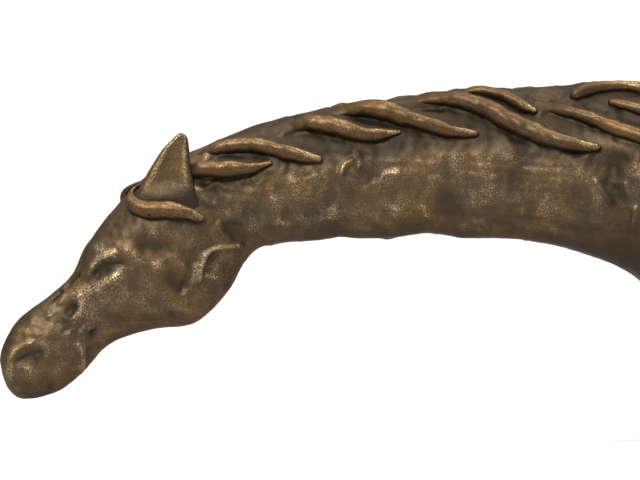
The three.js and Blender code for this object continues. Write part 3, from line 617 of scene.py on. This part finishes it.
def bronze_finish(name, dark_brown, brown, rubbed_and_lit_brown, pale_gold, gold, grained):
    """Cast bronze: a brown patina, darkened nearly to black by the shade attribute, which holds the
    patina of the hollows and painted shade; rubbed through to gold in fine specks on the raised
    places, and lighter brown where rubbed and where highlights are painted; with a few pin holes
    painted near black as the shade inside them. Grained is how rough the fine grain is. The layers
    are mixed one over the other: brown in blotches, dark mottling, the rubbed and highlit brown,
    dark grain, the gold flecks, the patina and painted shade, and the holes' painted shade."""
    mottling, grain_dark = (0.036, 0.0255, 0.014), (0.022, 0.015, 0.009)
    patina_and_shade_colour, hole_shade = (0.0145, 0.0104, 0.0062), (0.006, 0.005, 0.004)
    material = bpy.data.materials.new(name)
    material.use_nodes = True
    nodes, links = material.node_tree.nodes, material.node_tree.links
    surface = nodes["Principled BSDF"]

    def node(kind, **settings):
        made = nodes.new(kind)
        for key, value in settings.items():
            if hasattr(made, key):
                setattr(made, key, value)
            else:
                set_inputs(made, **{key: value})
        return made

    def noise(scale, detail=3.0, rough=0.55):
        made = node("ShaderNodeTexNoise", Scale=scale, Detail=detail, Roughness=rough)
        links.new(coordinates.outputs["Object"], made.inputs["Vector"])
        return made.outputs["Fac"]

    def ranged(value, low, high, to_low=0.0, to_high=1.0):
        made = nodes.new("ShaderNodeMapRange")
        links.new(value, made.inputs["Value"])
        set_inputs(made, From_Min=low, From_Max=high, To_Min=to_low, To_Max=to_high)
        return made.outputs["Result"]

    def combined(a, b, how="ADD"):
        made = node("ShaderNodeMath", operation=how)
        for socket, value in zip(made.inputs, (a, b)):
            if isinstance(value, (int, float)):
                socket.default_value = value
            else:
                links.new(value, socket)
        return made.outputs[0]

    def mix(share, a, b):
        made = nodes.new("ShaderNodeMix")
        made.data_type = "RGBA"
        links.new(share, made.inputs[0])
        for socket, value in ((made.inputs[6], a), (made.inputs[7], b)):
            if isinstance(value, tuple):
                socket.default_value = (*value, 1)
            else:
                links.new(value, socket)
        return made.outputs[2]

    coordinates = nodes.new("ShaderNodeTexCoord")
    wear_and_highlight = node("ShaderNodeAttribute", attribute_name="wear_and_highlight").outputs["Fac"]
    shade = node("ShaderNodeAttribute", attribute_name="shade").outputs["Fac"]
    blotches, dabs, mottle, grain = noise(60), noise(170), noise(520), noise(2600, 1.0)

    colour = mix(ranged(blotches, 0.32, 0.68), dark_brown, brown)
    colour = mix(ranged(mottle, 0.42, 0.75, 0, 0.35), colour, mottling)
    rubbed_and_lit = combined(wear_and_highlight, ranged(dabs, 0.45, 0.75, 0, 0.26))
    rubbed_and_lit = combined(rubbed_and_lit, ranged(shade, 0, 0.5, 1, 0.25), "MULTIPLY")
    # Lighter brown where rubbed, and where the wear attribute holds a painted highlight.
    colour = mix(ranged(rubbed_and_lit, 0, 0.9, 0, 0.72), colour, rubbed_and_lit_brown)
    colour = mix(ranged(grain, 0.3, 0.6, 0.3 * grained, 0), colour, grain_dark)
    flecks = ranged(combined(grain, combined(rubbed_and_lit, 0.12, "MULTIPLY")), 0.57, 0.74)
    flecks = combined(flecks, ranged(rubbed_and_lit, 0, 0.55, 0.06, 1), "MULTIPLY")
    colour = mix(flecks, colour, mix(ranged(blotches, 0.4, 0.6), pale_gold, gold))
    # Patina and painted shade, from the shade attribute.
    colour = mix(ranged(shade, 0.0, 1.0, 0, 0.97), colour, patina_and_shade_colour)
    pits = node("ShaderNodeTexVoronoi", Scale=62)
    links.new(coordinates.outputs["Object"], pits.inputs["Vector"])
    chance = nodes.new("ShaderNodeSeparateColor")
    links.new(pits.outputs["Color"], chance.inputs[0])
    pit = combined(ranged(pits.outputs["Distance"], 0.02, 0.045, 1, 0),
                   ranged(chance.outputs[0], 0.93, 0.94), "MULTIPLY")
    for x, y, out in pin_holes:
        from_hole = node("ShaderNodeVectorMath", operation="DISTANCE")
        links.new(coordinates.outputs["Object"], from_hole.inputs[0])
        from_hole.inputs[1].default_value = place(x, y, out)
        pit = combined(pit, ranged(from_hole.outputs["Value"], 0.0004, 0.0007, 1, 0), "MAXIMUM")
    # The holes painted near black: the shade inside them.
    colour = mix(pit, colour, hole_shade)
    links.new(colour, surface.inputs["Base Color"])
    # The coat is the wax that the patina is sealed with.
    set_inputs(surface, Metallic=0.8, Coat_Weight=0.05, Coat_Roughness=0.38,
               Specular_Tint=(0.36, 0.28, 0.21, 1))
    links.new(ranged(rubbed_and_lit, 0, 0.8, 0.47, 0.33), surface.inputs["Roughness"])

    # Fine grain, coarser grain and the holes, each bump on the one before it.
    normal = None
    for height, strength, distance, sunk in ((grain, 0.5 * grained, 0.0002, False),
                                             (mottle, 0.4 * grained, 0.0005, False),
                                             (pit, 0.8, 0.0006, True)):
        bump = node("ShaderNodeBump", Strength=strength, Distance=distance, invert=sunk)
        links.new(height, bump.inputs["Height"])
        if normal:
            links.new(normal, bump.inputs["Normal"])
        normal = bump.outputs["Normal"]
    links.new(normal, surface.inputs["Normal"])
    return material


bronze = bronze_finish("patinated_bronze", (0.040, 0.0295, 0.0185), (0.083, 0.0490, 0.0200),
                       (0.122, 0.0760, 0.0330), (0.37, 0.285, 0.185), (0.37, 0.255, 0.125), 1.0)


def finish_piece(piece, finish):
    """Each piece takes its finish and is part of the one casting, so all of them ride and replace the same.
    """
    piece.data.materials.append(finish)
    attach(piece, "root")
    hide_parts("horse_bust")


finish_piece(casting, bronze)

# ---------------------------------------------------------------------------------------------
# The mane on the horse's left side: locks of wax rolled between the fingers, thick in the middle
# and thin at the tip, laid on the neck one over the other and cast with it. Their upper sides and
# their tips are rubbed bright with a painted highlight, and their undersides carry painted shade.
# ---------------------------------------------------------------------------------------------
lock_step, lock_sides = 1.9, 32            # squares between rings, and points round a ring
lock_stands = 0.5                          # how far the middle is out of the skin, in radii
worn_all, ridge_wear_and_highlight = 0.1, 0.12           # wear all over, and wear with a painted highlight along the upper side
patch_wear_and_highlight, end_wear_and_highlight, tip_wear_and_highlight = 0.22, 0.4, 0.55     # more of both in patches, over the last half and at the tip, on the upper side
# Painted shade on the underside, a darkening all over, and painted shade at the root where it sinks into the
# skin, less at a round root.
shade_under, shade_all = 0.35, 0.08
shade_root, shade_round_root = 0.5, 0.1


def rolled_lock(line, side, rub_and_highlight=1.0, round_root=False, patina_and_shade_weight=0.6):
    """A roll along a line of the side view that lies on the skin. The line is the smooth curve
    through its table, and at each step a ring stands across it, as wide as the radius there. Its
    middle stands out of the skin by a share of the radius. A root that isn't round starts flat
    and sunk, and swells out of the skin over the first quarter. The rings close to half balls at
    both ends. Wear with a painted highlight grows with the rubbing towards the tip and on the upper
    side, and painted shade lies underneath and at the root, scaled with a little all-over darkening
    by the patina and shade weight."""
    line = np.array(line, float)
    fine = through(line, np.linspace(0, len(line) - 1, 400))
    walked = walk_along(fine)
    length, first, last = walked[-1], fine[0, 2], fine[-1, 2]
    turn = np.linspace(0, pi / 2, 8)[1:-1]
    at = np.concatenate([-first * np.sin(turn[::-1]), np.linspace(0, length, int(length / lock_step) + 2),
                         length + last * np.sin(turn)])
    inside = np.clip(at, 0, length)
    share = inside / length
    x, y, full = (np.interp(inside, walked, fine[:, k]) for k in range(3))
    radius = full * np.sqrt(1 - (np.abs(at - inside) / np.where(at < 0, first, last)) ** 2)
    slope = np.gradient(fine[:, :2], walked, axis=0)
    way = unit(np.stack([np.interp(inside, walked, slope[:, k]) for k in (0, 1)], 1))
    x, y = x + way[:, 0] * (at - inside), y + way[:, 1] * (at - inside)
    on_skin, out = skin(x, y, side)
    swell = smooth(share, 0, 0.2 if round_root else 0.26)
    root_stands, root_flat = (0.3, 1.0) if round_root else (-0.4, 0.3)
    depth = on_skin[:, 1] / square + side * full * (root_stands + (lock_stands - root_stands) * swell)
    depth = np.convolve(np.pad(depth, 4, mode="edge"), np.ones(9) / 9, mode="valid")
    centre = place(x, y, depth)
    along = unit(np.gradient(centre, axis=0))
    across = unit(np.cross(along, out))
    outward = unit(np.cross(across, along))
    angle = 2 * pi * np.arange(lock_sides) / lock_sides
    cosine, sine = np.cos(angle)[None], np.sin(angle)[None]
    ring_way = across[:, None] * cosine[..., None] + outward[:, None] * sine[..., None]
    flatness = (root_flat + (1 - root_flat) * swell)[:, None]
    ring = across[:, None] * cosine[..., None] + outward[:, None] * (sine * flatness)[..., None]
    points = centre[:, None] + ring * (radius * square)[:, None, None]
    lumps = 0.05 * hand_waves(points, 0.011, middle_waves) + 0.03 * hand_waves(points, 0.005, fine_waves)
    points = points + ring_way * (lumps * radius[:, None] * square)[..., None]
    up, outness = ring_way[..., 2], ring_way[..., 1] * side
    # Wear and a painted highlight on the upper and outer side, and at the tip.
    ridge = smooth(up + 0.5 * outness + 0.4 * smooth(share, 0.85, 1)[:, None], 0.45, 1.1)
    gild = np.clip(0.5 + 0.5 * hand_waves(points, 0.014, broad_waves), 0, 1)
    near_end = smooth(share, 0.55, 1)[:, None]
    wear_and_highlight = rub_and_highlight * (worn_all + ridge * (ridge_wear_and_highlight + patch_wear_and_highlight * gild + end_wear_and_highlight * near_end ** 2))
    wear_and_highlight *= smooth(share, 0.05, 0.3)[:, None]
    wear_and_highlight += tip_wear_and_highlight * smooth(share, 0.86, 0.97)[:, None] * smooth(up + 0.5 * outness, 0.1, 0.8)
    wear_and_highlight = np.clip(wear_and_highlight, 0, 1)
    # Painted shade underneath and at the root.
    at_root = (1 - smooth(share, 0, 0.3))[:, None]
    shade = shade_under * smooth(-up, 0.2, 0.9) + (shade_round_root if round_root else shade_root) * at_root
    shade = np.clip(patina_and_shade_weight * (shade + shade_all), 0, 1) * (1 - wear_and_highlight)
    return closed_ends(points), grid_faces(len(at), lock_sides), closed_ends(wear_and_highlight), closed_ends(shade)


def joined(parts):
    """Several closed skins as the arrays of one mesh: the faces of each count on from the points
    of the ones before it."""
    shift = np.cumsum([0] + [len(part[0]) for part in parts[:-1]])
    faces = [f + s for part, s in zip(parts, shift) for f in part[1]]
    quads = [f for f in faces if f.shape[1] == 4]
    fans = [f for f in faces if f.shape[1] == 3]
    return (np.concatenate([part[0] for part in parts]), [np.concatenate(quads), np.concatenate(fans)],
            np.concatenate([part[2] for part in parts]), np.concatenate([part[3] for part in parts]))


# The rolls are smoother and redder than the skin that they lie on.
rolled_bronze = bronze_finish("rolled_bronze", (0.034, 0.0205, 0.0095), (0.060, 0.0300, 0.0105),
                              (0.114, 0.0640, 0.0250), (0.30, 0.22, 0.132), (0.30, 0.204, 0.098), 0.32)
round_roots = ("sixth", "under_the_sixth")
rub_and_highlight_by_lock = {"crest_strand": 0.35, "poll": 0.85, "second": 1.1, "third": 0.7, "fourth": 0.3, "fifth": 0.5,
           "sixth": 1.5}
left_rolls = [rolled_lock(line, near, rub_and_highlight_by_lock.get(name, 1.0), name in round_roots)
              for name, line in near_locks.items()]
mane_near = bronze_piece("mane_left", *joined(left_rolls))
finish_piece(mane_near, rolled_bronze)

# ---------------------------------------------------------------------------------------------
# The mane on the right side: nine more rolled locks, each a little longer than the one before it,
# on one pattern down the crest. The same wax work, cast in one with the neck.
# ---------------------------------------------------------------------------------------------
mane_far = bronze_piece("mane_right", *joined([rolled_lock(line, far) for line in far_locks.values()]))
finish_piece(mane_far, rolled_bronze)

# ---------------------------------------------------------------------------------------------
# The forelock: two thick short rolls that part over the forehead, each swept back below its ear.
# Rolled in wax as the mane is, and rubbed bright with a painted highlight all along the upper side.
# ---------------------------------------------------------------------------------------------
forelock_tail = [[151, 208.8, 8.9], [162, 209.4, 8.7], [173, 210.2, 8.4], [184, 212, 7.8],
                 [194, 215.4, 6], [201, 218.2, 4.4]]
forelock_left = [[146, 180, 1.6], [139.5, 184.4, 2.2], [134, 188.6, 2.6], [131.4, 193.4, 3.4],
                 [131.6, 198.8, 5.6], [134.4, 204, 7.8], [141, 207.8, 8.8]] + forelock_tail
forelock_right = [[146, 180.4, 3], [136, 184.2, 4], [129, 188.6, 4.6], [125.4, 194, 5],
                  [127.6, 201, 6.4], [137, 206.6, 8]] + forelock_tail
forelocks = bronze_piece("forelocks", *joined([
    rolled_lock(line, side, patina_and_shade_weight=0.1) for line, side in ((forelock_left, near), (forelock_right, far))]))
finish_piece(forelocks, rolled_bronze)

# ---------------------------------------------------------------------------------------------
# The ears: leaves of wax pressed hollow on the outer face between two raised rims, set into the
# head behind the forelock and cast with it. The rims and the tip are rubbed bright, with a painted
# highlight, and the root carries painted shade.
# ---------------------------------------------------------------------------------------------
# y, left edge, right edge and half thickness, from the root in the head to the tip. All but the
# half thickness are as the side view has them.
ear_outline = np.array([
    [209, 128, 206, 10], [202, 131, 202, 10.5], [195, 135, 198.6, 11], [187, 140, 195.8, 11],
    [179, 145, 193.8, 10.6], [171, 149.2, 192, 10], [163.8, 153.7, 190.8, 9], [156, 158.5, 189.8, 8.2],
    [149.3, 163.3, 188.9, 7.2], [143.8, 168.5, 188.2, 6.2], [139.2, 173, 187.6, 5.2],
    [135.6, 176.8, 185.8, 3.8], [133.4, 179.4, 183.2, 1.8],
])
ear_rings, ear_sides = 74, 56
ear_out_root, ear_out_tip = 33, 34         # the leaf's middle, out from the middle of the head
scoop = 0.42 * 1.25                        # how much of the outer face is pressed in


def ear_leaf(side):
    """Rings from root to tip. Round a ring, the side view's x swings between the two edges with
    the cosine, and the distance out swings with the sine. On the outer face a share of it is
    taken back with the fourth power of the sine, which leaves a rim at each edge."""
    u = np.linspace(0, len(ear_outline) - 1, ear_rings)
    y, left, right, half = through(ear_outline, u).T
    share = (ear_outline[0, 0] - y) / (ear_outline[0, 0] - ear_outline[-1, 0])
    angle = 2 * pi * np.arange(ear_sides) / ear_sides
    cosine, sine = np.cos(angle)[None], np.sin(angle)[None]
    middle, breadth = (left + right)[:, None] / 2, (right - left)[:, None] / 2
    pressed = scoop * smooth(share, 0.12, 0.4)[:, None] * (1 - smooth(share, 0.8, 1))[:, None]
    swing = sine - np.where(sine > 0, pressed * sine ** 4, 0)
    out = ear_out_root + (ear_out_tip - ear_out_root) * share[:, None] + half[:, None] * swing
    x = middle + breadth * np.sign(cosine) * np.abs(cosine) ** 0.8
    points = place(x, np.broadcast_to(y[:, None], x.shape), side * out)
    lumps = 0.12 * square * hand_waves(points, 0.007, fine_waves)
    points = points + lumps[..., None] * np.array([0, side, 0])
    # Wear and a painted highlight on the rims of the outer face and at the tip; painted shade at the root,
    # and darker on the face towards the head.
    rim = np.exp(-((np.abs(cosine) - 0.62) / 0.12) ** 2) * smooth(sine, 0, 0.3)
    wear_and_highlight = 0.9 * rim * smooth(share, 0.2, 0.45)[:, None] + 0.4 * smooth(share, 0.75, 1)[:, None]
    shade = 0.14 + 0.2 * smooth(-sine, 0, 0.4) + 0.45 * (1 - smooth(share, 0.05, 0.35))[:, None]
    return closed_ends(points), grid_faces(ear_rings, ear_sides), closed_ends(wear_and_highlight), closed_ends(shade)


def outwards(part):
    """Turns a closed skin whose faces point inwards: its volume, summed over the faces' corners,
    is below zero."""
    points, faces, wear_and_highlight, shade = part
    quads = faces[1]
    a, b, c, d = (points[quads[:, k]] for k in range(4))
    volume = (a * np.cross(b, c)).sum() + (a * np.cross(c, d)).sum()
    return part if volume > 0 else (points, [f[:, ::-1] for f in faces], wear_and_highlight, shade)


ears = bronze_piece("ears", *joined([outwards(ear_leaf(side)) for side in (near, far)]))
finish_piece(ears, bronze)

# ---------------------------------------------------------------------------------------------
# The studio: a pale floor, a soft white room that is brighter above, and a camera level with the
# neck that looks straight at the horse's left side from far off.
# ---------------------------------------------------------------------------------------------
floor_reach, floor_z = 30, -0.0002         # metres; just below the flat foot, so that the two don't mix
floor_mesh = bpy.data.meshes.new("studio_floor")
floor_corners = [(x * floor_reach, y * floor_reach, floor_z) for x, y in ((-1, -1), (1, -1), (1, 1), (-1, 1))]
floor_mesh.from_pydata(floor_corners, [], [(0, 1, 2, 3)])
floor = add_object("studio_floor", floor_mesh)
floor_material = bpy.data.materials.new("pale_floor")
floor_material.use_nodes = True
set_inputs(floor_material.node_tree.nodes["Principled BSDF"], Base_Color=(0.55, 0.55, 0.55, 1),
           Roughness=0.9)
floor_mesh.materials.append(floor_material)

world = bpy.data.worlds.new("studio_room")
bpy.context.scene.world = world
world.use_nodes = True
sky_nodes, sky_links = world.node_tree.nodes, world.node_tree.links
direction = sky_nodes.new("ShaderNodeTexCoord")
apart = sky_nodes.new("ShaderNodeSeparateXYZ")
sky_links.new(direction.outputs["Generated"], apart.inputs[0])
ramp = sky_nodes.new("ShaderNodeValToRGB")
ramp.color_ramp.interpolation = "LINEAR"
# Height over the horizon (the sine of the angle up) and the room's brightness there: a white wall
# behind the floor's edge, a darker band over it, and a bright ceiling.
room = ((0.0, 1.08), (0.07, 1.08), (0.13, 0.42), (0.4, 1.0), (1.0, 3.5))
room_strength = 4.0
while len(ramp.color_ramp.elements) < len(room):
    ramp.color_ramp.elements.new(0.5)
for element, (height, brightness) in zip(ramp.color_ramp.elements, room):
    element.position, element.color = height, (*(brightness / room_strength,) * 3, 1)
sky_links.new(apart.outputs["Z"], ramp.inputs["Fac"])
sky_links.new(ramp.outputs["Color"], sky_nodes["Background"].inputs["Color"])
sky_nodes["Background"].inputs["Strength"].default_value = room_strength


def soft_light(name, at, aim, size, power):
    """A round soft light of some size in metres and power in watts, turned to face its aim."""
    lamp = bpy.data.lights.new(name, "AREA")
    lamp.shape, lamp.size, lamp.energy = "DISK", size, power
    made = add_object(name, lamp)
    made.location = at
    away = np.array(at, float) - np.array(aim, float)
    made.rotation_euler = (atan2(hypot(away[0], away[1]), away[2]), 0, atan2(away[0], -away[1]))


soft_light("key", (-0.65, -0.8, 0.8), (-0.2, 0, 0.07), 0.4, 15)
soft_light("top", (0.1, 0.1, 1.3), (-0.1, 0, 0.07), 0.9, 8)

picture_width, picture_height = 640, 480   # squares that the photograph shows
camera_distance, film_width = 4.0, 36      # metres and millimetres
camera_data = bpy.data.cameras.new("camera")
camera = add_object("camera", camera_data)
middle_of_picture = place(np.array(picture_width / 2), np.array(picture_height / 2), np.array(0.0))
camera.location = (middle_of_picture[0], -camera_distance, middle_of_picture[2])
camera.rotation_euler = (pi / 2, 0, 0)
camera_data.sensor_width = film_width
camera_data.lens = film_width * camera_distance / (picture_width * square)
camera_data.clip_end = 100
bpy.context.scene.camera = camera
bpy.context.scene.view_settings.view_transform = "Standard"
